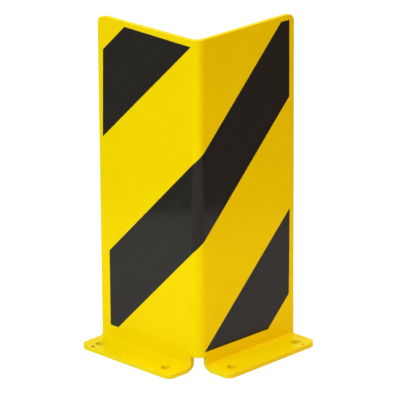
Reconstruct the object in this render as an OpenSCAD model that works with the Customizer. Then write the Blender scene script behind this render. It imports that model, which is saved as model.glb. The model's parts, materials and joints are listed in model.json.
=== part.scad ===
// Corner impact guard: one steel sheet folded to an upright L with two out-turned feet, and three black
// self-adhesive films laid at a slant over its yellow faces.
// The origin is on the floor, in the middle of the guard's footprint, behind its outer corner.
// The outer corner points to +X and -Y. One leg faces -Y, the other leg faces +X.

/* [Steel sheet] */
// Height of the guard, from the floor to its top edge
guard_h = 400; // [300:10:600]
// Length of each leg, from the outer corner to the leg's free end
leg_l = 160; // [130:5:300]
// Thickness of the sheet
sheet_t = 6; // [3:0.5:10]
// Inside radius of the upright bend between the two legs
bend_r = 6; // [3:0.5:15]
// Inside radius of the bend between each leg and its foot
foot_bend_r = 3; // [1:0.5:6]
// Radius of the rounded top corner at each leg's free end
top_corner_r = 10; // [2:1:30]

/* [Feet] */
// How far each foot stands out from the face of its leg
foot_out = 38; // [34:1:80]
// Radius of each foot's corner at the free end
foot_free_r = 12; // [2:1:16]
// Radius of each foot's corner next to the relief
foot_relief_r = 9; // [2:1:16]

/* [Corner relief] */
// Height of the upright bend's lower edge above the floor
relief_h = 17.5; // [17:0.5:40]
// How far the relief is cut into each leg, past the upright bend
relief_past_bend = 1.5; // [0.5:0.5:5]
// Distance from each foot's inner end to the plane of the other leg's face
relief_to_foot = 11; // [5:0.5:12]

/* [Holes in the feet] */
// Diameter of the anchor holes
anchor_d = 12; // [6:0.5:14]
// Distance from the leg's face to the middle of the anchor holes
anchor_out = 22; // [18:0.5:24]
// Distance from the foot's free end to the middle of the outer anchor hole
anchor_from_end = 20; // [15:1:30]
// Distance from the foot's inner end to the middle of the inner anchor hole
anchor_from_relief = 21; // [15:1:40]
// Diameter of the small hole that the guard hangs by while it is coated
hang_d = 4; // [2:0.5:5]
// Distance from the foot's outer edge to the middle of the small hole
hang_from_edge = 3.5; // [3.5:0.5:6]

/* [Films] */
// Thickness of the films
film_t = 0.2; // [0.1:0.05:0.5]
// Width of the film stripes, square to their length
film_w = 75; // [50:1:100]
// How far above the guard's half height the bend film's middle line crosses the upright bend
bend_film_lift = 5.5; // [-30:0.5:30]
// How much higher the upper film's middle line runs
upper_film_rise = 249.5; // [220:0.5:280]
// How much lower the lower film's middle line runs
lower_film_drop = 243; // [220:1:280]
// Margin between the films and the top edge
film_top_gap = 6.5; // [2:0.5:15]
// Margin between the bend film and the free end of the right leg
bend_film_right_gap = 8.5; // [2:0.5:20]
// Margin between the bend film and the free end of the left leg
bend_film_left_gap = 14.5; // [2:0.5:20]
// Height of the bend film's and the lower film's lower edge above the floor
film_floor_gap = 22.5; // [20:0.5:40]
// Margin between the upper film's outer top corner and the leg's free end
upper_film_gap = 9.5; // [6:0.5:20]
// Margin between the upper film's outer top corner and the top edge
upper_film_top_gap = 5; // [4:0.5:20]
// How far the upper film was laid out of true, in degrees, clockwise as it is looked at
upper_film_turn = 1.3; // [-2:0.1:2]
// Margin of the lower film's outer bottom corner, from the leg's free end
lower_film_gap = 9; // [6:0.5:20]
// How far the lower film was laid out of true, in degrees, clockwise as it is looked at
lower_film_turn = 0.6; // [-2:0.1:2]

/* [Hidden] */
$fn = 128;
// Outer radius of the upright bend, which is also where each leg's flat begins
bend_out_r = bend_r + sheet_t;
// Height at which each leg's flat begins, above the bend into the foot
leg_flat_z = foot_bend_r + sheet_t;
// Where the relief's side stands in each leg
relief_side = bend_out_r + relief_past_bend;
// The outer corner's place: the footprint is centred on the origin
corner_at = (leg_l - foot_out)/2;
// Cutting shapes reach this far past the faces that they cut
past = 1;
// Slant of the stripes
slant = 45;
// Half the turn of the upright bend, from either leg's face to the slanting face of its middle
half_turn = 45;
// Height of a stripe, measured straight up
stripe_rise = film_w/cos(slant);
// Long enough for a stripe to cross both legs
stripe_l = 4*leg_l;
// How much nearer the bend's middle is along the bent sheet than round the sharp corner
bend_saving = bend_out_r*(1 - PI/4);
// Heights at which the films' middle lines cross, or would cross, the middle of the upright bend
bend_film_mid = guard_h/2 + bend_film_lift;
upper_film_mid = bend_film_mid + upper_film_rise;
lower_film_mid = bend_film_mid - lower_film_drop;

// A square corner less its round, to be cut away where two straight edges meet at the origin
module corner_waste(r) {
  difference() {
    translate([-past, -past]) square(r + past);
    translate([r, r]) circle(r);
  }
}

// Section of a strip bent square round the origin: the bend lies between 180 and 270 degrees, and
// the two arms run on from it along X and Y
module bent_strip(x_arm, y_arm, t, r_in) {
  r_out = r_in + t;
  intersection() {
    difference() {
      circle(r_out);
      circle(r_in);
    }
    translate([-r_out - past, -r_out - past]) square(r_out + past);
  }
  translate([-r_out, 0]) square([t, y_arm]);
  translate([0, -r_out]) square([x_arm, t]);
}

// Puts a plan drawn about the outer corner in its place on the floor
module at_corner() {
  translate([corner_at, -corner_at, 0]) children();
}

// Turns a flat drawing of (along the right leg, height) upright, on the right leg's face and outward
module on_right_leg() {
  rotate([90, 0, 90]) children();
}

// Turns a flat drawing of (along the left leg from its face's corner, height) upright and outward
module on_left_leg() {
  rotate([90, 0, 0]) children();
}

// What is cut off the right foot, seen from above: the relief at its inner end, and its corners' rounds
module foot_waste() {
  relief_step = relief_side - relief_to_foot;
  polygon([
    [-sheet_t - past, relief_to_foot - past],
    [foot_bend_r + relief_step + past, relief_to_foot - past],
    [foot_bend_r, relief_side],
    [-sheet_t - past, relief_side]
  ]);
  translate([foot_out, relief_to_foot]) rotate(90) corner_waste(foot_relief_r);
  translate([foot_out, leg_l]) rotate(180) corner_waste(foot_free_r);
}

// Holes of the right foot, seen from above
module foot_holes() {
  outer_y = leg_l - anchor_from_end;
  inner_y = relief_to_foot + anchor_from_relief;
  for (y = [outer_y, inner_y]) {
    translate([anchor_out, y]) circle(d = anchor_d);
  }
  translate([foot_out - hang_from_edge, outer_y]) circle(d = hang_d);
}

// The right leg with its foot, drawn about the outer corner
module leg_with_foot() {
  difference() {
    translate([foot_bend_r, leg_l, leg_flat_z]) rotate([90, 0, 0]) linear_extrude(leg_l - relief_to_foot)
      bent_strip(foot_out - foot_bend_r, guard_h - leg_flat_z, sheet_t, foot_bend_r);
    translate([-sheet_t - past, leg_l, guard_h]) on_right_leg() linear_extrude(sheet_t + 2*past)
      rotate(180) corner_waste(top_corner_r);
    translate([0, 0, -past]) linear_extrude(guard_h + 2*past) foot_waste();
    translate([0, 0, -past]) linear_extrude(sheet_t + 2*past) foot_holes();
  }
}

// The upright bend, drawn about the outer corner: it runs on a little way into both legs
module upright_bend() {
  arm = relief_past_bend + past;
  translate([-bend_out_r, bend_out_r, relief_h]) linear_extrude(guard_h - relief_h)
    rotate(90) bent_strip(arm, arm, sheet_t, bend_r);
}

// The folded sheet: both legs with their feet, and the bend between them
module corner_plate() {
  color("gold") at_corner() {
    upright_bend();
    leg_with_foot();
    mirror([1, 1, 0]) leg_with_foot();
  }
}

// A skin of film over both legs' faces and the upright bend, drawn about the outer corner
module film_skin() {
  arm = leg_l - bend_out_r;
  translate([-bend_out_r, bend_out_r, 0]) linear_extrude(guard_h)
    rotate(90) bent_strip(arm, arm, film_t, bend_out_r);
}

// A stripe that rises to the right, through height mid above the origin of its drawing
module stripe(mid) {
  translate([0, mid]) rotate(slant) square([stripe_l, film_w], center = true);
}

// The bend film's stripe where it goes round the bend: its edges climb as much there as they would
// on the flat, so that they meet the edges on both legs
module bend_stripe() {
  half_w = (bend_out_r + film_t/2)*sin(half_turn);
  climb = bend_out_r*PI/4/half_w;
  reach = half_w + past;
  polygon([
    [-reach, bend_film_mid - climb*reach - stripe_rise/2],
    [reach, bend_film_mid + climb*reach - stripe_rise/2],
    [reach, bend_film_mid + climb*reach + stripe_rise/2],
    [-reach, bend_film_mid - climb*reach + stripe_rise/2]
  ]);
}

// Upper film, on the left leg: cut square to the leg, then laid a little out of true
module upper_left_film() {
  color("#2b2824") at_corner() intersection() {
    film_skin();
    translate([0, bend_out_r/2, 0]) on_left_leg() linear_extrude(bend_out_r)
      translate([-leg_l + upper_film_gap, guard_h - upper_film_top_gap]) rotate(-upper_film_turn)
        intersection() {
          translate([0, -leg_l]) square([leg_l, leg_l]);
          translate([leg_l - upper_film_gap, upper_film_top_gap - guard_h])
            stripe(upper_film_mid + bend_saving);
        }
  }
}

// Film round the bend: it ends short of both legs' free ends, of the top edge and of the feet
module bend_film() {
  color("#2b2824") at_corner() intersection() {
    film_skin();
    union() {
      translate([0, past, 0]) on_left_leg() linear_extrude(2*past) intersection() {
        translate([-bend_out_r, film_floor_gap]) mirror([1, 0])
          square([leg_l - bend_out_r - bend_film_left_gap, guard_h - film_floor_gap]);
        stripe(bend_film_mid + bend_saving);
      }
      translate([-past, 0, 0]) on_right_leg() linear_extrude(2*past) intersection() {
        translate([bend_out_r, 0]) square([leg_l - bend_out_r - bend_film_right_gap, guard_h - film_top_gap]);
        stripe(bend_film_mid - bend_saving);
      }
      intersection() {
        translate([-bend_out_r, bend_out_r, 0]) mirror([0, 1, 0])
          cube([bend_out_r + past, bend_out_r + past, guard_h]);
        translate([-bend_out_r, bend_out_r, 0]) rotate([90, 0, half_turn])
          linear_extrude(bend_out_r + past) bend_stripe();
      }
    }
  }
}

// Lower film, on the right leg: cut square to the leg, then laid a little out of true
module lower_right_film() {
  color("#2b2824") at_corner() intersection() {
    film_skin();
    translate([-bend_out_r/2, 0, 0]) on_right_leg() linear_extrude(bend_out_r)
      translate([leg_l - lower_film_gap, film_floor_gap]) rotate(-lower_film_turn)
        intersection() {
          translate([-leg_l, 0]) square([leg_l, leg_l + film_w]);
          translate([lower_film_gap - leg_l, -film_floor_gap]) stripe(lower_film_mid - bend_saving);
        }
  }
}

corner_plate();
upper_left_film();
bend_film();
lower_right_film();
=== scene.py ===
"""Corner impact guard: one folded steel sheet in a yellow powder coat, with three black films over it."""

import json
import math

import bmesh
import bpy
from bpy.props import FloatProperty, FloatVectorProperty, IntProperty, PointerProperty
from bpy.types import NodeSocket, Operator, Panel, PropertyGroup
from mathutils import Matrix, Vector
from mathutils.geometry import delaunay_2d_cdt


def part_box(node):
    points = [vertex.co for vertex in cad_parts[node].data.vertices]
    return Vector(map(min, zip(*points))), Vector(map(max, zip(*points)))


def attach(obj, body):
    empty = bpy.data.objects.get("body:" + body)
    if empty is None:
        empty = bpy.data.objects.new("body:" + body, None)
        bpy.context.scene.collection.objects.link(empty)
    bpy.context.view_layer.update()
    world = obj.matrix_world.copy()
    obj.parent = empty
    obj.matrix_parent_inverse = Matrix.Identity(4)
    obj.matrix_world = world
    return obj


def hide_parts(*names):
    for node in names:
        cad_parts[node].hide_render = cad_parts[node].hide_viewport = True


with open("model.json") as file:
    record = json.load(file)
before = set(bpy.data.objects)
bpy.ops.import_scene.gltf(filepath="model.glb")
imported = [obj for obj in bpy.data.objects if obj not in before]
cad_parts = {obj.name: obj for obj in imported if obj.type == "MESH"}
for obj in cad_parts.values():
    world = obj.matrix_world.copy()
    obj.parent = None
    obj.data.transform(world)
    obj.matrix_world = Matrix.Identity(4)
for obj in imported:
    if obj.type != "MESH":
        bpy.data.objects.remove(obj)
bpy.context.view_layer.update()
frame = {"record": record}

bl_info = {
    "name": "Corner Impact Guard",
    "version": (1, 0, 0),
    "blender": (4, 5, 0),
    "location": "3D View > Sidebar > Corner Guard",
    "description": "Folds a coated steel corner guard from its flat sheet and lays its hazard films",
    "category": "Add Mesh",
}

PLATE_LOW, PLATE_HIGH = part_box("corner_plate")
FILM_LOW, FILM_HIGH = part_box("bend_film")
MIDDLE_HEIGHT = (PLATE_LOW.z + PLATE_HIGH.z) / 2
# How far each foot stands out from the face of its leg
FOOT_OUT = 0.038
# Where the right leg's face stands along X, and the left leg's along -Y
LEG_FACE = PLATE_HIGH.x - FOOT_OUT
# A millimetre, in metres
MM = 0.001
ANCHORS = next(mount for mount in frame["record"]["mounts"] if mount["name"] == "right_foot_anchors")
QUARTER_TURN = math.pi / 2
EIGHTH_TURN = math.pi / 4
# A sharp corner moves inward at most this many times as far as its sides do
MITRE_LIMIT = 5
# Share of the grid's spacing that its points keep from the outline and the holes
GRID_CLEARANCE = 0.45
# Points of a flat nearer to each other than this are one, in metres
SAME_POINT = 1e-9
# Points nearer to a cut than this lie on it, in metres
ON_THE_CUT = 1e-7


# Sizes and colours

class GuardSheet(PropertyGroup):
    """Sizes of the steel sheet."""
    height: FloatProperty(
        name="Height", description="From the floor to the top edge",
        default=PLATE_HIGH.z - PLATE_LOW.z, min=0.1, unit="LENGTH")
    foot_out: FloatProperty(
        name="Foot", description="How far each foot stands out from the face of its leg",
        default=FOOT_OUT, min=0.02, unit="LENGTH")
    leg_length: FloatProperty(
        name="Leg", description="From the outer corner to each leg's free end",
        default=PLATE_HIGH.x - PLATE_LOW.x - FOOT_OUT, min=0.1, unit="LENGTH")
    thickness: FloatProperty(
        name="Thickness", description="Thickness of the sheet", default=0.006, min=0.001, unit="LENGTH")
    bend_radius: FloatProperty(
        name="Upright bend", description="Inside radius of the bend between the legs",
        default=0.006, min=0.001, unit="LENGTH")
    foot_bend_radius: FloatProperty(
        name="Foot bend", description="Inside radius of the bend between each leg and its foot",
        default=0.003, min=0.0005, unit="LENGTH")
    top_corner: FloatProperty(
        name="Top corner", description="Radius of each leg's top corner", default=0.010, unit="LENGTH")
    foot_free_corner: FloatProperty(
        name="Foot's free corner", description="Radius of each foot's corner at the free end",
        default=0.012, unit="LENGTH")
    foot_relief_corner: FloatProperty(
        name="Foot's inner corner", description="Radius of each foot's corner next to the relief",
        default=0.009, unit="LENGTH")
    relief_height: FloatProperty(
        name="Relief height", description="Height of the upright bend's lower edge above the floor",
        default=0.0175, unit="LENGTH")
    relief_past_bend: FloatProperty(
        name="Relief past bend", description="How far the relief is cut into each leg, past the bend",
        default=0.0015, unit="LENGTH")
    relief_to_foot: FloatProperty(
        name="Relief to foot", description="From each foot's inner end to the plane of the other leg's face",
        default=0.011, unit="LENGTH")
    relief_root: FloatProperty(
        name="Relief root", description="Radius that the cutting beam leaves in the relief's two roots",
        default=0.0008, unit="LENGTH")
    edge_round: FloatProperty(
        name="Edge round", description="Radius of the coated edges", default=0.0008, unit="LENGTH")
    rim_band: FloatProperty(
        name="Rim band", description="Width of the band along the edges where the coat draws back",
        default=0.00105, unit="LENGTH")


class GuardHoles(PropertyGroup):
    """Sizes and places of the holes in the feet."""
    anchor_diameter: FloatProperty(
        name="Anchor holes", description="Diameter of the anchor holes",
        default=2 * ANCHORS["dims"]["hole_r_mm"] * MM, unit="LENGTH")
    anchor_out: FloatProperty(
        name="Anchors out", description="From the leg's face to the middle of the anchor holes",
        default=ANCHORS["pos_m"][0] - LEG_FACE, unit="LENGTH")
    anchor_pitch: FloatProperty(
        name="Anchor pitch", description="Distance between the two anchor holes of one foot",
        default=ANCHORS["dims"]["spacing_y_mm"] * MM, unit="LENGTH")
    anchor_from_end: FloatProperty(
        name="Anchor from end", description="From the foot's free end to the outer anchor hole",
        default=0.020, unit="LENGTH")
    hang_diameter: FloatProperty(
        name="Hanging hole", description="Diameter of the small hole that the guard hangs by to be coated",
        default=0.004, unit="LENGTH")
    hang_from_edge: FloatProperty(
        name="Hanging hole from edge", description="From the foot's outer edge to the small hole's middle",
        default=0.0035, unit="LENGTH")
    edge_round: FloatProperty(
        name="Edge round", description="Radius of the holes' coated edges", default=0.0003, unit="LENGTH")
    rim_band: FloatProperty(
        name="Rim band", description="Width of the band round each hole where the coat draws back",
        default=0.0004, unit="LENGTH")
    thin_wall: FloatProperty(
        name="Thin wall",
        description="How far the coat thins on the holes' walls; 1 is as on the sheet's edges",
        default=0.25, min=0, max=1, subtype="FACTOR")
    # Painted shade: how fully a dark brown covers the left hanging hole's wall, standing in for the shade in
    # that hole
    painted_hole_shade: FloatProperty(
        name="Painted hole shade", description="How bare the hook left the wall of the left hanging hole",
        default=1.0, min=0, max=1, subtype="FACTOR")


class GuardFilms(PropertyGroup):
    """Sizes and places of the three films."""
    width: FloatProperty(name="Width", description="Width of the stripes", default=0.075, unit="LENGTH")
    thickness: FloatProperty(
        name="Thickness", description="Thickness of the films", default=0.0002, unit="LENGTH")
    edge_round: FloatProperty(
        name="Edge round", description="Rounding of the films' cut edges", default=0.00007, unit="LENGTH")
    rim_band: FloatProperty(
        name="Rim band", description="Width of the band along the films' cut edges",
        default=0.00028, unit="LENGTH")
    corner: FloatProperty(
        name="Corner", description="Rounding of the films' cut corners", default=0.0004, unit="LENGTH")
    slant: FloatProperty(
        name="Slant", description="Slant of the stripes on the flat sheet",
        default=EIGHTH_TURN, subtype="ANGLE")
    bend_lift: FloatProperty(
        name="Bend film lift", description="Height of the bend film's middle above the guard's half height",
        default=0.0055, unit="LENGTH")
    upper_rise: FloatProperty(
        name="Upper film rise", description="How much higher the upper film's middle line runs",
        default=0.2495, unit="LENGTH")
    lower_drop: FloatProperty(
        name="Lower film drop", description="How much lower the lower film's middle line runs",
        default=0.243, unit="LENGTH")
    top_gap: FloatProperty(
        name="Top gap", description="Margin between the bend film and the top edge",
        default=PLATE_HIGH.z - FILM_HIGH.z, unit="LENGTH")
    floor_gap: FloatProperty(
        name="Floor gap", description="Height of the films' lower edges above the floor",
        default=FILM_LOW.z - PLATE_LOW.z, unit="LENGTH")
    right_gap: FloatProperty(
        name="Right gap", description="Margin between the bend film and the right leg's free end",
        default=PLATE_HIGH.y - FILM_HIGH.y, unit="LENGTH")
    left_gap: FloatProperty(
        name="Left gap", description="Margin between the bend film and the left leg's free end",
        default=FILM_LOW.x - PLATE_LOW.x, unit="LENGTH")
    upper_gap: FloatProperty(
        name="Upper film gap", description="Margin between the upper film's outer corner and the free end",
        default=0.0095, unit="LENGTH")
    upper_top_gap: FloatProperty(
        name="Upper film top gap",
        description="Margin between the upper film's outer corner and the top edge",
        default=0.005, unit="LENGTH")
    upper_turn: FloatProperty(
        name="Upper film turn", description="How far the upper film was laid out of true, clockwise",
        default=math.radians(1.3), subtype="ANGLE")
    lower_gap: FloatProperty(
        name="Lower film gap", description="Margin between the lower film's outer corner and the free end",
        default=0.009, unit="LENGTH")
    lower_turn: FloatProperty(
        name="Lower film turn", description="How far the lower film was laid out of true, clockwise",
        default=math.radians(0.6), subtype="ANGLE")


class GuardFinish(PropertyGroup):
    """Colours and gloss of the coat and the films."""
    coat: FloatVectorProperty(
        name="Coat", description="Yellow of the powder coat", subtype="COLOR", size=3,
        default=(0.90, 0.61, 0.0006), min=0, max=1)
    coat_deep: FloatVectorProperty(
        name="Deep coat", description="Yellow of the clouds where the coat lies thicker", subtype="COLOR",
        size=3, default=(0.875, 0.585, 0.0004), min=0, max=1)
    coat_thin: FloatVectorProperty(
        name="Thin coat", description="Duller yellow where the coat draws back from an edge",
        subtype="COLOR", size=3, default=(0.79, 0.56, 0.012), min=0, max=1)
    # Painted shade: a darker yellow laid in the concave foot bends, standing in for the shade there
    painted_crease_shade: FloatVectorProperty(
        name="Painted shade in the foot bends", description="Yellow of the foot bends, where the coat lies thickest",
        subtype="COLOR", size=3, default=(0.845, 0.562, 0.0004), min=0, max=1)
    # Painted shade: the yellow is darkened, most in red, round the foot bends, fading over the reach below
    foot_shade_tint: FloatVectorProperty(
        name="Painted shade by the feet",
        description="Tint of the yellow round the foot bends, where the coat is thicker",
        subtype="COLOR", size=3, default=(0.93, 0.985, 1.0), min=0, max=1)
    foot_shade_reach: FloatProperty(
        name="Reach of the tint", description="How far that tint reaches from the middle of the foot bends",
        default=0.045, unit="LENGTH")
    # Painted shade: the dark brown laid on the left hanging hole's wall
    painted_hole_shade: FloatVectorProperty(
        name="Painted hole shade", description="Dull brown where the hook kept the coat off the steel",
        subtype="COLOR", size=3, default=(0.42, 0.28, 0.004), min=0, max=1)
    coat_roughness: FloatProperty(
        name="Coat roughness", description="Roughness of the glossy coat",
        default=0.15, min=0, max=1, subtype="FACTOR")
    film: FloatVectorProperty(
        name="Film", description="Black of the films", subtype="COLOR", size=3,
        default=(0.0184, 0.0145, 0.0120), min=0, max=1)
    film_worn: FloatVectorProperty(
        name="Rubbed film", description="Black where the films were rubbed down",
        subtype="COLOR", size=3, default=(0.0212, 0.0171, 0.0142), min=0, max=1)
    film_cut: FloatVectorProperty(
        name="Cut edge", description="Colour of the films' cut edges",
        subtype="COLOR", size=3, default=(0.028, 0.025, 0.021), min=0, max=1)
    film_roughness: FloatProperty(
        name="Film roughness", description="Roughness of the semi-gloss films",
        default=0.11, min=0, max=1, subtype="FACTOR")


class GuardMesh(PropertyGroup):
    """How finely the pieces are made."""
    arc_steps: IntProperty(
        name="Corner steps", description="Steps in each rounded corner of the flat sheet", default=18, min=4)
    hole_steps: IntProperty(
        name="Hole steps", description="Steps round each hole", default=48, min=16)
    edge_steps: IntProperty(
        name="Edge steps", description="Steps in the rounding of an edge", default=4, min=2)
    bend_steps: IntProperty(
        name="Upright bend steps", description="Steps in the upright bend", default=36, min=8)
    foot_bend_steps: IntProperty(
        name="Foot bend steps", description="Steps in each foot's bend", default=16, min=6)
    film_corner_steps: IntProperty(
        name="Film corner steps", description="Steps in each cut corner of the films", default=4, min=1)
    grid: FloatProperty(
        name="Grid", description="Spacing of the points on the sheet's flats", default=0.012, unit="LENGTH")


class GuardStage(PropertyGroup):
    """The floor, the room and the camera."""
    floor_size: FloatProperty(
        name="Floor", description="Length of the floor's sides", default=24.0, unit="LENGTH")
    floor_gap: FloatProperty(
        name="Floor gap", description="How far the floor lies under the feet", default=0.0001, unit="LENGTH")
    floor_glow: FloatProperty(
        name="Floor glow", description="How brightly the floor shines of itself where it is seen",
        default=0.93, min=0)
    floor_shade: FloatProperty(
        name="Floor shade", description="Share of the lamps' light that the floor shows where it is seen",
        default=0.20, min=0, max=1, subtype="FACTOR")
    floor_tint: FloatVectorProperty(
        name="Floor tint", description="Tint of the light that the floor throws back", subtype="COLOR",
        size=3, default=(0.93, 1.0, 1.0), min=0, max=1)
    bounce: FloatProperty(
        name="Bounce", description="Share of the lamps' light that the floor throws back on the guard",
        default=0.80, min=0, max=1, subtype="FACTOR")
    paper_width: FloatProperty(
        name="Paper", description="Width of the white paper under the guard, which runs along the view",
        default=1.115, unit="LENGTH")
    paper_edge: FloatProperty(
        name="Paper edge", description="Width over which the paper's brightness ends",
        default=0.016, unit="LENGTH")
    room_floor: FloatProperty(
        name="Room floor", description="Brightness of the floor past the paper, to all but the camera",
        default=0.12, min=0, max=1, subtype="FACTOR")
    ambient: FloatProperty(
        name="Ambient", description="How brightly the white room lights the guard", default=0.35, min=0)
    azimuth: FloatProperty(
        name="Azimuth", description="The camera's bearing round the guard",
        default=math.radians(44.543), subtype="ANGLE")
    elevation: FloatProperty(
        name="Elevation", description="The camera's height above the horizon",
        default=math.radians(19.312), subtype="ANGLE")
    roll: FloatProperty(
        name="Roll", description="The camera's roll", default=math.radians(-0.382), subtype="ANGLE")
    distance: FloatProperty(
        name="Distance", description="From the camera to the point that it looks at",
        default=4.0948, unit="LENGTH")
    aim_right: FloatProperty(
        name="Aim right", description="How far right of the upright corner the camera looks",
        default=0.00238, unit="LENGTH")
    aim_up: FloatProperty(
        name="Aim up", description="How far above the guard's half height the camera looks",
        default=0.01216, unit="LENGTH")
    lens: FloatProperty(
        name="Lens", description="Focal length in millimetres", default=324.47, min=1)
    sensor: FloatProperty(
        name="Sensor", description="Width of the sensor in millimetres", default=36.0, min=1)
    view_end: FloatProperty(
        name="View end", description="How far the camera sees", default=100.0, unit="LENGTH")


class GuardLights(PropertyGroup):
    """The four soft lights."""
    left_place: FloatVectorProperty(
        name="Left place", description="Middle of the large light before the left leg",
        subtype="TRANSLATION", size=3, default=(0.12, -1.74, 1.05))
    left_size: FloatProperty(
        name="Left size", description="Length of the left light's sides", default=1.2, unit="LENGTH")
    left_power: FloatProperty(
        name="Left power", description="Power of the left light", default=22.8, unit="POWER")
    left_tint: FloatVectorProperty(
        name="Left tint", description="Tint of the left light", subtype="COLOR", size=3,
        default=(0.91, 1.0, 0.98), min=0, max=1)
    right_place: FloatVectorProperty(
        name="Right place", description="Middle of the warm light before the right leg",
        subtype="TRANSLATION", size=3, default=(2.42, 1.70, 1.3))
    right_size: FloatProperty(
        name="Right size", description="Length of the right light's sides", default=1.8, unit="LENGTH")
    right_power: FloatProperty(
        name="Right power", description="Power of the right light", default=36.0, unit="POWER")
    right_tint: FloatVectorProperty(
        name="Right tint", description="Tint of the right light", subtype="COLOR", size=3,
        default=(1.0, 0.416, 0.316), min=0, max=1)
    back_place: FloatVectorProperty(
        name="Back place", description="Middle of the low light behind the guard",
        subtype="TRANSLATION", size=3, default=(-1.9, 1.9, 0.3))
    back_size: FloatProperty(
        name="Back size", description="Length of the back light's sides", default=0.8, unit="LENGTH")
    back_power: FloatProperty(
        name="Back power", description="Power of the back light", default=20.0, unit="POWER")
    back_tint: FloatVectorProperty(
        name="Back tint", description="Tint of the back light", subtype="COLOR", size=3,
        default=(1.0, 1.0, 1.0), min=0, max=1)
    top_place: FloatVectorProperty(
        name="Top place", description="Middle of the light overhead",
        subtype="TRANSLATION", size=3, default=(0.3, -0.3, 2.8))
    top_size: FloatProperty(
        name="Top size", description="Length of the top light's sides", default=2.4, unit="LENGTH")
    top_power: FloatProperty(
        name="Top power", description="Power of the top light", default=58.5, unit="POWER")
    top_tint: FloatVectorProperty(
        name="Top tint", description="Tint of the top light", subtype="COLOR", size=3,
        default=(0.71, 1.0, 1.0), min=0, max=1)


# Node trees

def add_node(tree, kind, inputs=None, **settings):
    """Adds a node, sets it up, and links or fills its inputs."""
    made = tree.nodes.new(kind)
    for name, value in settings.items():
        setattr(made, name, value)
    for name, value in (inputs or {}).items():
        if isinstance(value, NodeSocket):
            tree.links.new(value, made.inputs[name])
        else:
            made.inputs[name].default_value = value
    return made


def calc(tree, operation, *values):
    """One math node; returns its result."""
    return add_node(tree, "ShaderNodeMath", dict(enumerate(values)), operation=operation).outputs[0]


def ramp(tree, value, low, high, start=0.0, end=1.0, shape="LINEAR"):
    """One map range node: from start to end while the value goes from low to high."""
    sockets = {"Value": value, "From Min": low, "From Max": high, "To Min": start, "To Max": end}
    return add_node(tree, "ShaderNodeMapRange", sockets, interpolation_type=shape).outputs[0]


def noise(tree, place, scale, detail, roughness=0.5):
    """One noise node; returns its value."""
    sockets = {"Vector": place, "Scale": scale, "Detail": detail, "Roughness": roughness}
    return add_node(tree, "ShaderNodeTexNoise", sockets).outputs[0]


def paint(tree, share, under, colour, blend_type="MIX"):
    """One colour mix node that lays a share of a colour over what is under it."""
    sockets = {"Factor": share, "A": under, "B": (*colour, 1)}
    made = add_node(tree, "ShaderNodeMix", sockets, data_type="RGBA", blend_type=blend_type)
    return made.outputs["Result"]


def attribute(tree, name):
    """What the points of a piece hold under a name."""
    return add_node(tree, "ShaderNodeAttribute", attribute_name=name).outputs["Fac"]


def new_material(name):
    """A material with an empty node tree, and that tree."""
    made = bpy.data.materials.new(name)
    made.use_nodes = True
    made.node_tree.nodes.clear()
    return made, made.node_tree


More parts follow.
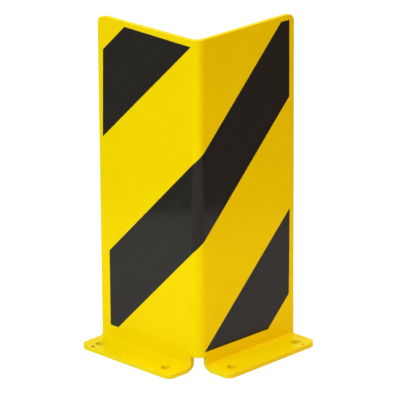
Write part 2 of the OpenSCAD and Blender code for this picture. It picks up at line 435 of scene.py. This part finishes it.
def fold_tree():
    """Geometry Nodes that fold a flat sheet: X is the way along both legs, Z the height, Y the depth."""
    tree = bpy.data.node_groups.new("Fold the flat sheet", "GeometryNodeTree")
    face = tree.interface
    face.new_socket("Flat sheet", in_out="INPUT", socket_type="NodeSocketGeometry")
    for name in ("Upright bend radius", "Foot bend radius", "Foot bend height", "Outer corner"):
        face.new_socket(name, in_out="INPUT", socket_type="NodeSocketFloat")
    face.new_socket("Finish", in_out="INPUT", socket_type="NodeSocketMaterial")
    face.new_socket("Folded sheet", in_out="OUTPUT", socket_type="NodeSocketGeometry")
    given = add_node(tree, "NodeGroupInput").outputs
    bend_r, foot_r = given["Upright bend radius"], given["Foot bend radius"]
    foot_h, corner = given["Foot bend height"], given["Outer corner"]
    place = add_node(tree, "GeometryNodeInputPosition").outputs["Position"]
    along, depth, rise = add_node(tree, "ShaderNodeSeparateXYZ", {"Vector": place}).outputs

    # Below the foot bend's height the sheet turns outward, then runs on level
    below = calc(tree, "SUBTRACT", foot_h, rise)
    turned = calc(tree, "MAXIMUM", calc(tree, "DIVIDE", below, foot_r), 0.0)
    turned = calc(tree, "MINIMUM", turned, QUARTER_TURN)
    run = calc(tree, "SUBTRACT", below, calc(tree, "MULTIPLY", turned, foot_r))
    reach = calc(tree, "ADD", foot_r, depth)
    sin_t, cos_t = calc(tree, "SINE", turned), calc(tree, "COSINE", turned)
    out = calc(tree, "SUBTRACT", foot_r, calc(tree, "MULTIPLY", reach, cos_t))
    out = calc(tree, "MULTIPLY_ADD", run, sin_t, out)
    height = calc(tree, "SUBTRACT", foot_h, calc(tree, "MULTIPLY", reach, sin_t))
    height = calc(tree, "SUBTRACT", height, calc(tree, "MULTIPLY", run, cos_t))

    # Round the upright bend; a foot stays straight, because the relief parts it from the bend
    swing = calc(tree, "MAXIMUM", calc(tree, "DIVIDE", along, bend_r), -EIGHTH_TURN)
    swing = calc(tree, "MINIMUM", swing, EIGHTH_TURN)
    whole = calc(tree, "MULTIPLY", calc(tree, "SIGN", along), EIGHTH_TURN)
    in_foot = calc(tree, "LESS_THAN", rise, foot_h)
    swing = add_node(tree, "ShaderNodeMix", {"Factor": in_foot, "A": swing, "B": whole}).outputs["Result"]
    rest = calc(tree, "SUBTRACT", along, calc(tree, "MULTIPLY", swing, bend_r))
    angle = calc(tree, "SUBTRACT", swing, EIGHTH_TURN)
    sin_a, cos_a = calc(tree, "SINE", angle), calc(tree, "COSINE", angle)
    radius = calc(tree, "ADD", bend_r, out)
    centre = calc(tree, "SUBTRACT", corner, bend_r)
    x = calc(tree, "MULTIPLY_ADD", radius, cos_a, centre)
    x = calc(tree, "SUBTRACT", x, calc(tree, "MULTIPLY", rest, sin_a))
    y = calc(tree, "SUBTRACT", calc(tree, "MULTIPLY", radius, sin_a), centre)
    y = calc(tree, "MULTIPLY_ADD", rest, cos_a, y)

    folded = add_node(tree, "ShaderNodeCombineXYZ", {"X": x, "Y": y, "Z": height}).outputs[0]
    moved = add_node(tree, "GeometryNodeSetPosition", {"Geometry": given["Flat sheet"], "Position": folded})
    smooth = add_node(tree, "GeometryNodeSetShadeSmooth", {"Geometry": moved.outputs[0]})
    real = add_node(tree, "GeometryNodeRealizeInstances", {"Geometry": smooth.outputs[0]})
    painted = add_node(
        tree, "GeometryNodeSetMaterial", {"Geometry": real.outputs[0], "Material": given["Finish"]})
    add_node(tree, "NodeGroupOutput", {"Folded sheet": painted.outputs[0]})
    return tree


def coat_material(finish):
    """Yellow powder coat: fine orange peel and faint clouds, with painted shade on the wall of the left
    hanging hole.

    Painted shade darkens the yellow in and round the foot bends, and the coat lies thinner along the edges.
    """
    made, tree = new_material("Yellow powder coat")
    place = add_node(tree, "ShaderNodeTexCoord").outputs["Object"]
    cloud = ramp(tree, noise(tree, place, scale=14.0, detail=3.0, roughness=0.55), low=0.35, high=0.68)
    colour = paint(tree, cloud, (*finish.coat, 1), finish.coat_deep)

    # The way from the middle of the foot bends, measured on the flat sheet
    sheet = bpy.context.scene.guard_sheet
    half_bend = sheet.foot_bend_radius * EIGHTH_TURN
    middle = sheet.foot_bend_radius + sheet.thickness - half_bend
    flat = add_node(tree, "ShaderNodeUVMap", uv_map="flat_sheet").outputs[0]
    rise = add_node(tree, "ShaderNodeSeparateXYZ", {"Vector": flat}).outputs["Y"]
    away = calc(tree, "ABSOLUTE", calc(tree, "SUBTRACT", rise, middle))
    # Painted shade in the concave foot bends: the yellow is darkened over the bends' middle
    crease_shade_full, crease_shade_end = half_bend * 0.5, half_bend * 1.3
    crease_shade = ramp(tree, away, low=crease_shade_full, high=crease_shade_end, start=1.0, end=0.0, shape="SMOOTHSTEP")
    colour = paint(tree, crease_shade, colour, finish.painted_crease_shade)
    # Painted shade round the foot bends: the yellow is darkened, most in red
    foot_shade = ramp(tree, away, low=half_bend, high=finish.foot_shade_reach, start=1.0, end=0.0, shape="SMOOTHSTEP")
    colour = paint(tree, foot_shade, colour, finish.foot_shade_tint, blend_type="MULTIPLY")

    speckle = noise(tree, place, scale=260.0, detail=2.0)
    thinned = ramp(tree, speckle, low=0.38, high=0.62, start=0.4, end=0.9)
    colour = paint(tree, calc(tree, "MULTIPLY", attribute(tree, "rim"), thinned), colour, finish.coat_thin)
    # Painted shade: dark brown on the wall of the left hanging hole
    colour = paint(tree, attribute(tree, "bare"), colour, finish.painted_hole_shade)

    peel = noise(tree, place, scale=620.0, detail=1.5, roughness=0.45)
    grain = noise(tree, place, scale=2600.0, detail=2.0, roughness=0.6)
    grain_share = 0.18
    height = calc(tree, "MULTIPLY_ADD", grain, grain_share, peel)
    bump = add_node(tree, "ShaderNodeBump", {"Height": height, "Strength": 0.35, "Distance": 0.00005})
    smoothest, roughest = finish.coat_roughness - 0.02, finish.coat_roughness + 0.03
    rough = ramp(tree, peel, low=0.3, high=0.7, start=smoothest, end=roughest)
    # A little metal and hardly any white mirror: the gloss takes the coat's own yellow
    shader = add_node(tree, "ShaderNodeBsdfPrincipled", {
        "Base Color": colour, "Roughness": rough, "Normal": bump.outputs[0],
        "Metallic": 0.045, "Specular IOR Level": 0.01})
    add_node(tree, "ShaderNodeOutputMaterial", {"Surface": shader.outputs[0]})
    return made


def film_material(finish):
    """Semi-gloss black film: faint streaks along the stripe from rubbing it down, and a paler cut edge."""
    made, tree = new_material("Semi-gloss black film")
    flat = add_node(tree, "ShaderNodeUVMap", uv_map="flat_sheet").outputs[0]
    streak_length, streak_width = 1 / 6, 1 / 70
    # A mapping of this type turns first and scales afterwards
    along = add_node(tree, "ShaderNodeMapping", {
        "Vector": flat, "Rotation": (0, 0, bpy.context.scene.guard_films.slant),
        "Scale": (streak_length, streak_width, 1)}, vector_type="TEXTURE").outputs[0]
    streak = ramp(tree, noise(tree, along, scale=1.0, detail=4.0, roughness=0.6), low=0.38, high=0.66)
    colour = paint(tree, streak, (*finish.film, 1), finish.film_worn)
    colour = paint(tree, attribute(tree, "rim"), colour, finish.film_cut)

    place = add_node(tree, "ShaderNodeTexCoord").outputs["Object"]
    grain = noise(tree, place, scale=2200.0, detail=3.0)
    wave = noise(tree, place, scale=75.0, detail=1.0)
    grain_share = 0.05
    height = calc(tree, "MULTIPLY_ADD", grain, grain_share, wave)
    bump = add_node(tree, "ShaderNodeBump", {"Height": height, "Strength": 0.2, "Distance": 0.00010})
    smoothest, roughest = finish.film_roughness - 0.02, finish.film_roughness + 0.04
    rough = ramp(tree, streak, low=0.0, high=1.0, start=smoothest, end=roughest)
    shader = add_node(tree, "ShaderNodeBsdfPrincipled", {
        "Base Color": colour, "Roughness": rough, "Normal": bump.outputs[0], "Specular IOR Level": 0.13})
    add_node(tree, "ShaderNodeOutputMaterial", {"Surface": shader.outputs[0]})
    return made


# Flat shapes

def rounded(corners, steps):
    """Points round a closed outline, given as (x, y, corner radius) counter-clockwise."""
    points = []
    for i, (x, y, r) in enumerate(corners):
        here = Vector((x, y))
        if r <= 0:
            points.append(here)
            continue
        before = (Vector(corners[i - 1][:2]) - here).normalized()
        after = (Vector(corners[(i + 1) % len(corners)][:2]) - here).normalized()
        half = before.angle(after) / 2
        start, end = here + before * r / math.tan(half), here + after * r / math.tan(half)
        centre = here + (before + after).normalized() * r / math.sin(half)
        sweep = (start - centre).angle_signed(end - centre)
        for k in range(steps + 1):
            points.append(centre + Matrix.Rotation(-sweep * k / steps, 2) @ (start - centre))
    return points


def circle(x, y, r, steps):
    """Points round a hole, clockwise, so that the sheet lies on their left, as along an outline."""
    turns = (-2 * math.pi * k / steps for k in range(steps))
    return [Vector((x + r * math.cos(a), y + r * math.sin(a))) for a in turns]


def inset(loop, distance):
    """The loop moved into the sheet, which lies on its left."""
    moved = []
    for i, here in enumerate(loop):
        ahead = (loop[(i + 1) % len(loop)] - here).normalized()
        behind = (here - loop[i - 1]).normalized()
        left_a, left_b = Vector((-ahead.y, ahead.x)), Vector((-behind.y, behind.x))
        middle = (left_a + left_b).normalized()
        moved.append(here + middle * distance / max(middle.dot(left_a), 1 / MITRE_LIMIT))
    return moved


def inside(point, loop):
    """Whether a point lies within a loop."""
    crossings = 0
    for a, b in zip(loop, loop[1:] + loop[:1]):
        if (a.y > point.y) != (b.y > point.y):
            crossings += point.x < a.x + (b.x - a.x) * (point.y - a.y) / (b.y - a.y)
    return crossings % 2 == 1


def on_flat(point, border):
    """Whether a point lies within the outline, the first loop of the border, and outside every hole."""
    return inside(point, border[0]) and not any(inside(point, hole) for hole in border[1:])


def clip(polygon, axis, limit, keep_below):
    """The part of a convex polygon on one side of a line square to an axis."""
    kept = []
    for a, b in zip(polygon, polygon[1:] + polygon[:1]):
        in_a, in_b = (a[axis] <= limit) == keep_below, (b[axis] <= limit) == keep_below
        if in_a:
            kept.append(a)
        if in_a != in_b:
            kept.append(a.lerp(b, (limit - a[axis]) / (b[axis] - a[axis])))
    return kept


def trimmed(polygon, left=None, right=None, bottom=None, top=None):
    """The part of a convex polygon between the limits that are given."""
    for axis, limit, keep_below in ((0, left, False), (0, right, True), (1, bottom, False), (1, top, True)):
        if limit is not None:
            polygon = clip(polygon, axis, limit, keep_below)
    return polygon


def edge_rings(bm, loop, rim_sizes, depth, thickness, steps):
    """Rings of points, joined by faces, from the front flat over the edge and the wall to the back flat.

    Returns the first ring and the last.
    """
    # The last value is the share of painted shade on a hole's wall
    edge, band, thinness, shade_in_hole_share = rim_sizes
    rim, bare = bm.verts.layers.float["rim"], bm.verts.layers.float["bare"]
    # Rows from the flat over the rounded edge: their points, their depth, and 1 on the rim
    front = [(inset(loop, band), 0.0, 0)]
    for k in range(steps, -1, -1):
        turn = QUARTER_TURN * k / steps
        front.append((inset(loop, edge * (1 - math.cos(turn))), edge * (1 - math.sin(turn)), 1))
    back = [(points, thickness - down, on_rim) for points, down, on_rim in reversed(front)]
    rings = []
    for points, down, on_rim in front + back:
        ring = [bm.verts.new((p.x, depth + down, p.y)) for p in points]
        for vert in ring:
            vert[rim], vert[bare] = on_rim * thinness, on_rim * shade_in_hole_share
        rings.append(ring)
    for upper, lower in zip(rings, rings[1:]):
        for i in range(len(upper)):
            j = (i + 1) % len(upper)
            bm.faces.new((upper[i], lower[i], lower[j], upper[j]))
    return rings[0], rings[-1]


def flat_triangles(border, step):
    """Triangles between an outline and its holes, with a loose grid of points on the flat.

    Returns the points, the places of each among the border's points, and the triangles.
    """
    points, edges = [], []
    for ring in border:
        first = len(points)
        points += ring
        edges += [(first + i, first + (i + 1) % len(ring)) for i in range(len(ring))]
    xs, ys = [p.x for p in border[0]], [p.y for p in border[0]]
    taken = list(points)
    for i in range(int(min(xs) / step), int(max(xs) / step) + 1):
        for k in range(int(min(ys) / step), int(max(ys) / step) + 1):
            # Every second row is shifted by half a step
            spot = Vector(((i + 0.5 * (k % 2)) * step, k * step))
            free = min((spot - p).length for p in taken) > GRID_CLEARANCE * step
            if free and on_flat(spot, border):
                points.append(spot)
    spots, _, faces, origins, _, _ = delaunay_2d_cdt(points, edges, [], 0, SAME_POINT)
    kept = [tri for tri in faces if on_flat(sum((spots[i] for i in tri), Vector((0, 0))) / 3, border)]
    return spots, origins, kept


def fill(bm, rings, triangles, depth, flip):
    """Faces of one flat, fastened to its rings."""
    spots, origins, faces = triangles
    ready = [vert for ring in rings for vert in ring]
    verts = []
    for spot, origin in zip(spots, origins):
        known = [i for i in origin if i < len(ready)]
        verts.append(ready[known[0]] if known else bm.verts.new((spot.x, depth, spot.y)))
    for tri in faces:
        bm.faces.new([verts[i] for i in (reversed(tri) if flip else tri)])


def slab(loops, rims, depth, thickness, plan, cuts):
    """A flat plate, face towards -Y, from an outline and its holes, with rounded edges.

    Each loop has its rim: the edge's radius, the width of the band up to the plain flat, how thin the coat
    lies on the wall, and how much painted shade the wall gets. The face lies at depth. The mesh is cut along
    every (axis, value) in cuts, so that it can be bent there.
    """
    bm = bmesh.new()
    for name in ("rim", "bare"):
        bm.verts.layers.float.new(name)
    ends = []
    for loop, rim in zip(loops, rims):
        ends.append(edge_rings(bm, loop, rim, depth, thickness, plan.edge_steps))
    front, back = zip(*ends)
    triangles = flat_triangles([[Vector((v.co.x, v.co.z)) for v in ring] for ring in front], plan.grid)
    fill(bm, front, triangles, depth, False)
    fill(bm, back, triangles, depth + thickness, True)
    for axis, value in cuts:
        normal = Vector((0, 0, 0))
        normal[axis] = 1
        everything = bm.verts[:] + bm.edges[:] + bm.faces[:]
        bmesh.ops.bisect_plane(
            bm, geom=everything, dist=ON_THE_CUT, plane_co=normal * value, plane_no=normal)
    bmesh.ops.recalc_face_normals(bm, faces=bm.faces[:])
    flat = bm.loops.layers.uv.new("flat_sheet")
    for face in bm.faces:
        for corner in face.loops:
            corner[flat].uv = (corner.vert.co.x, corner.vert.co.z)
    return bm


# Pieces

class Fold:
    """The folded sheet's derived sizes, and the way from a flat shape to a folded piece."""

    def __init__(self, scene):
        self.sheet, self.plan = scene.guard_sheet, scene.guard_mesh
        sheet = self.sheet
        # Outside radius of the upright bend, half its length, and half the flat sheet's width
        self.bend_out = sheet.bend_radius + sheet.thickness
        self.half_bend = self.bend_out * EIGHTH_TURN
        self.free_end = sheet.leg_length - (self.bend_out - self.half_bend)
        # Up the flat sheet: the foot bends' upper ends, their lower ends, and the feet's outer edges
        self.foot_height = sheet.foot_bend_radius + sheet.thickness
        self.foot_start = self.foot_height - sheet.foot_bend_radius * QUARTER_TURN
        self.foot_end = self.foot_start - (sheet.foot_out - sheet.foot_bend_radius)
        # Where the planes of the legs' faces meet
        self.corner = PLATE_HIGH.x - sheet.foot_out

    def bend_cuts(self):
        """Lines across the upright bend."""
        steps = self.plan.bend_steps
        return [(0, self.half_bend * (2 * k / steps - 1)) for k in range(steps + 1)]

    def foot_cuts(self):
        """Lines along the foot bends."""
        steps, radius = self.plan.foot_bend_steps, self.sheet.foot_bend_radius
        return [(2, self.foot_height - radius * QUARTER_TURN * k / steps) for k in range(steps + 1)]

    def make(self, name, bm, material, node, slot):
        """Folds a flat shape and puts it in the place of a CAD node."""
        flat = bpy.data.meshes.new(name + "_flat")
        bm.to_mesh(flat)
        bm.free()
        piece = bpy.data.objects.new(name, flat)
        bpy.context.scene.collection.objects.link(piece)
        tree = bpy.data.node_groups.get("Fold the flat sheet") or fold_tree()
        sizes = {
            "Upright bend radius": self.bend_out,
            "Foot bend radius": self.sheet.foot_bend_radius,
            "Foot bend height": self.foot_height,
            "Outer corner": self.corner,
            "Finish": material,
        }
        fold = piece.modifiers.new("Fold", "NODES")
        fold.node_group = tree
        for item in tree.interface.items_tree:
            if item.in_out == "INPUT" and item.name in sizes:
                fold[item.identifier] = sizes[item.name]
        normals = piece.modifiers.new("Even normals", "WEIGHTED_NORMAL")
        normals.mode, normals.weight, normals.keep_sharp = "FACE_AREA", 80, True
        graph = bpy.context.evaluated_depsgraph_get()
        folded = bpy.data.meshes.new_from_object(
            piece.evaluated_get(graph), preserve_all_data_layers=True, depsgraph=graph)
        piece.modifiers.clear()
        piece.data = folded
        folded.name = name
        bpy.data.meshes.remove(flat)
        if not folded.polygons:
            raise RuntimeError(f"{name} came out empty")
        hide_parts(node)
        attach(piece, "root")


class GUARD_OT_folded_sheet(Operator):
    """Cut the flat sheet with its relief and holes, and fold it"""
    bl_idname = "guard.folded_sheet"
    bl_label = "Folded sheet"

    def execute(self, context):
        scene = context.scene
        sheet, holes, plan, fold = scene.guard_sheet, scene.guard_holes, scene.guard_mesh, Fold(scene)
        # Along the flat sheet: the relief's side in the leg, and the foot's inner end
        inner = fold.half_bend + sheet.relief_past_bend
        toe = fold.half_bend + sheet.relief_to_foot - fold.bend_out
        # Right half of the outline: the relief's root, down its slanting cut, and round to the top corner
        half = [
            (inner, sheet.relief_height, sheet.relief_root),
            (inner, fold.foot_start, 0),
            (toe, fold.foot_start - (inner - toe), 0),
            (toe, fold.foot_end, sheet.foot_relief_corner),
            (fold.free_end, fold.foot_end, sheet.foot_free_corner),
            (fold.free_end, sheet.height, sheet.top_corner),
        ]
        outline = rounded(half + [(-x, y, r) for x, y, r in reversed(half)], plan.arc_steps)
        anchor_y = fold.foot_start - (holes.anchor_out - sheet.foot_bend_radius)
        hang_y = fold.foot_end + holes.hang_from_edge
        outer_x = fold.free_end - holes.anchor_from_end
        loops, rims = [outline], [(sheet.edge_round, sheet.rim_band, 1.0, 0.0)]
        for side in (1, -1):
            # Only the left hanging hole's wall gets the painted shade
            left_hole_shade_share = holes.painted_hole_shade if side < 0 else 0.0
            for x, y, diameter, shade_in_hole_share in (
                    (outer_x, anchor_y, holes.anchor_diameter, 0.0),
                    (outer_x - holes.anchor_pitch, anchor_y, holes.anchor_diameter, 0.0),
                    (outer_x, hang_y, holes.hang_diameter, left_hole_shade_share)):
                loops.append(circle(side * x, y, diameter / 2, plan.hole_steps))
                rims.append((holes.edge_round, holes.rim_band, holes.thin_wall, shade_in_hole_share))
        bm = slab(loops, rims, 0.0, sheet.thickness, plan, fold.bend_cuts() + fold.foot_cuts())
        coat = coat_material(scene.guard_finish)
        fold.make("coated_sheet", bm, coat, "corner_plate", "yellow_coat")
        return {"FINISHED"}


class GUARD_OT_hazard_films(Operator):
    """Cut the three slanting films and lay them over the coated faces"""
    bl_idname = "guard.hazard_films"
    bl_label = "Hazard films"

    def execute(self, context):
        scene = context.scene
        sheet, films, plan, fold = scene.guard_sheet, scene.guard_films, scene.guard_mesh, Fold(scene)
        middle = sheet.height / 2 + films.bend_lift
        left, right = -fold.free_end, fold.free_end
        top, bottom = sheet.height, films.floor_gap
        upper_corner = (left + films.upper_gap, top - films.upper_top_gap)
        upper = self.stripe(films, middle + films.upper_rise, top)
        upper = trimmed(upper, left=upper_corner[0], top=upper_corner[1])
        upper = self.turned(upper, upper_corner, films.upper_turn)
        bend = trimmed(
            self.stripe(films, middle, top), left=left + films.left_gap, right=right - films.right_gap,
            bottom=bottom, top=top - films.top_gap)
        lower_corner = (right - films.lower_gap, bottom)
        lower = self.stripe(films, middle - films.lower_drop, top)
        lower = trimmed(lower, right=lower_corner[0], bottom=lower_corner[1])
        lower = self.turned(lower, lower_corner, films.lower_turn)
        black = film_material(scene.guard_finish)
        for name, outline, node in (
                ("upper_left_stripe", upper, "upper_left_film"),
                ("bend_stripe", bend, "bend_film"),
                ("lower_right_stripe", lower, "lower_right_film")):
            outline = rounded([(p.x, p.y, films.corner) for p in outline], plan.film_corner_steps)
            rim = (films.edge_round, films.rim_band, 1.0, 0.0)
            bm = slab([outline], [rim], -films.thickness, films.thickness, plan, fold.bend_cuts())
            fold.make(name, bm, black, node, "black_film")
        return {"FINISHED"}

    @staticmethod
    def stripe(films, middle, reach):
        """A long stripe that rises to the right through a height above the bend."""
        along = Vector((math.cos(films.slant), math.sin(films.slant))) * 2 * reach
        across = Vector((-math.sin(films.slant), math.cos(films.slant))) * films.width / 2
        start, end = Vector((0, middle)) - along, Vector((0, middle)) + along
        return [start - across, end - across, end + across, start + across]

    @staticmethod
    def turned(polygon, about, angle):
        """The polygon turned clockwise about a point."""
        about = Vector(about)
        return [about + Matrix.Rotation(-angle, 2) @ (p - about) for p in polygon]


class GUARD_OT_studio(Operator):
    """Set the pale floor, the soft lights and the camera"""
    bl_idname = "guard.studio"
    bl_label = "Studio"

    def execute(self, context):
        stage = context.scene.guard_stage
        context.scene.view_settings.view_transform = "Standard"
        self.floor(stage)
        self.room(stage)
        for where in ("left", "right", "back", "top"):
            self.soft_light(context.scene.guard_lights, where)
        self.camera(stage)
        return {"FINISHED"}

    @staticmethod
    def seen(tree):
        """1 for the rays that show a surface itself: from the camera, off gloss or through glass."""
        path = add_node(tree, "ShaderNodeLightPath").outputs
        seen = calc(tree, "MAXIMUM", path["Is Camera Ray"], path["Is Glossy Ray"])
        return calc(tree, "MAXIMUM", seen, path["Is Transmission Ray"])

    def floor(self, stage):
        """A floor that the camera sees white, with the guard's soft shadow on it.

        Past the strip of white paper it is dimmer to every other ray.
        """
        half, level = stage.floor_size / 2, PLATE_LOW.z - stage.floor_gap
        mesh = bpy.data.meshes.new("floor")
        mesh.from_pydata(
            [(-half, -half, level), (half, -half, level), (half, half, level), (-half, half, level)],
            [], [(0, 1, 2, 3)])
        made, tree = new_material("White floor")
        seen = self.seen(tree)
        spot = add_node(tree, "ShaderNodeTexCoord").outputs["Object"]
        across = (math.cos(stage.azimuth), math.sin(stage.azimuth), 0)
        aside = add_node(tree, "ShaderNodeVectorMath", {0: spot, 1: across}, operation="DOT_PRODUCT")
        paper = ramp(
            tree, calc(tree, "ABSOLUTE", aside.outputs["Value"]),
            low=(stage.paper_width - stage.paper_edge) / 2, high=(stage.paper_width + stage.paper_edge) / 2,
            start=1.0, end=stage.room_floor, shape="SMOOTHSTEP")
        paper = calc(tree, "MAXIMUM", paper, add_node(tree, "ShaderNodeLightPath").outputs["Is Camera Ray"])
        shade = add_node(tree, "ShaderNodeMix", {"Factor": seen, "A": stage.bounce, "B": stage.floor_shade})
        white = calc(tree, "MULTIPLY", shade.outputs["Result"], paper)
        tinted = [calc(tree, "MULTIPLY", white, part) for part in stage.floor_tint]
        colour = add_node(tree, "ShaderNodeCombineColor", dict(enumerate(tinted)))
        matt = add_node(tree, "ShaderNodeBsdfDiffuse", {"Color": colour.outputs[0]})
        shine = calc(tree, "MULTIPLY", calc(tree, "MULTIPLY", seen, stage.floor_glow), paper)
        glow = add_node(tree, "ShaderNodeEmission", {"Strength": shine})
        both = add_node(tree, "ShaderNodeAddShader", {0: matt.outputs[0], 1: glow.outputs[0]})
        add_node(tree, "ShaderNodeOutputMaterial", {"Surface": both.outputs[0]})
        mesh.materials.append(made)
        floor = bpy.data.objects.new("floor", mesh)
        bpy.context.scene.collection.objects.link(floor)

    def room(self, stage):
        """A white room all round: full white where it is seen, dimmer where it lights the guard."""
        world = bpy.data.worlds.new("White room")
        world.use_nodes = True
        tree = world.node_tree
        tree.nodes.clear()
        strength = add_node(tree, "ShaderNodeMix", {"Factor": self.seen(tree), "A": stage.ambient, "B": 1.0})
        white = add_node(tree, "ShaderNodeBackground", {
            "Color": (1, 1, 1, 1), "Strength": strength.outputs["Result"]})
        add_node(tree, "ShaderNodeOutputWorld", {"Surface": white.outputs[0]})
        bpy.context.scene.world = world

    @staticmethod
    def soft_light(lights, where):
        """A square soft light that looks at the guard's middle."""
        lamp = bpy.data.lights.new(where.capitalize() + " light", "AREA")
        lamp.size, lamp.energy = getattr(lights, where + "_size"), getattr(lights, where + "_power")
        lamp.color = getattr(lights, where + "_tint")
        light = bpy.data.objects.new(lamp.name, lamp)
        light.location = getattr(lights, where + "_place")
        aim = Vector((0, 0, MIDDLE_HEIGHT)) - light.location
        light.rotation_euler = aim.to_track_quat("-Z", "Y").to_euler()
        bpy.context.scene.collection.objects.link(light)

    @staticmethod
    def camera(stage):
        """The camera at the photograph's bearing."""
        azimuth, elevation, roll = stage.azimuth, stage.elevation, stage.roll
        flat = math.cos(elevation)
        back = Vector((math.sin(azimuth) * flat, -math.cos(azimuth) * flat, math.sin(elevation)))
        level = Vector((math.cos(azimuth), math.sin(azimuth), 0))
        upright = back.cross(level)
        right = level * math.cos(roll) + upright * math.sin(roll)
        up = upright * math.cos(roll) - level * math.sin(roll)
        upright_corner = Vector((LEG_FACE, -LEG_FACE, MIDDLE_HEIGHT))
        target = upright_corner + right * stage.aim_right + up * stage.aim_up
        lens = bpy.data.cameras.new("Camera")
        lens.lens, lens.sensor_width, lens.clip_end = stage.lens, stage.sensor, stage.view_end
        camera = bpy.data.objects.new("Camera", lens)
        turn = Matrix((right, up, back)).transposed().to_4x4()
        camera.matrix_world = Matrix.Translation(target + back * stage.distance) @ turn
        bpy.context.scene.collection.objects.link(camera)
        bpy.context.scene.camera = camera


class GUARD_PT_panel(Panel):
    """Sizes, colours and steps of the corner guard"""
    bl_idname = "GUARD_PT_panel"
    bl_label = "Corner Guard"
    bl_space_type = "VIEW_3D"
    bl_region_type = "UI"
    bl_category = "Corner Guard"

    def draw(self, context):
        for operator in OPERATORS:
            self.layout.operator(operator.bl_idname)
        for name in SETTINGS:
            group = getattr(context.scene, name)
            box = self.layout.box()
            box.label(text=name.split("_")[1].capitalize())
            for key in group.__annotations__:
                box.prop(group, key)


SETTINGS = {
    "guard_sheet": GuardSheet,
    "guard_holes": GuardHoles,
    "guard_films": GuardFilms,
    "guard_finish": GuardFinish,
    "guard_mesh": GuardMesh,
    "guard_stage": GuardStage,
    "guard_lights": GuardLights,
}
OPERATORS = (GUARD_OT_folded_sheet, GUARD_OT_hazard_films, GUARD_OT_studio)


def register():
    """Makes the groups, operators and panel known."""
    for made in (*SETTINGS.values(), *OPERATORS, GUARD_PT_panel):
        bpy.utils.register_class(made)
    for name, group in SETTINGS.items():
        setattr(bpy.types.Scene, name, PointerProperty(type=group))


def unregister():
    """Takes them away again."""
    for name in SETTINGS:
        delattr(bpy.types.Scene, name)
    for made in (GUARD_PT_panel, *reversed(OPERATORS), *SETTINGS.values()):
        bpy.utils.unregister_class(made)


def main():
    """Builds the guard and its stage."""
    register()
    bpy.ops.guard.folded_sheet()
    bpy.ops.guard.hazard_films()
    bpy.ops.guard.studio()


if __name__ == "__main__":
    main()
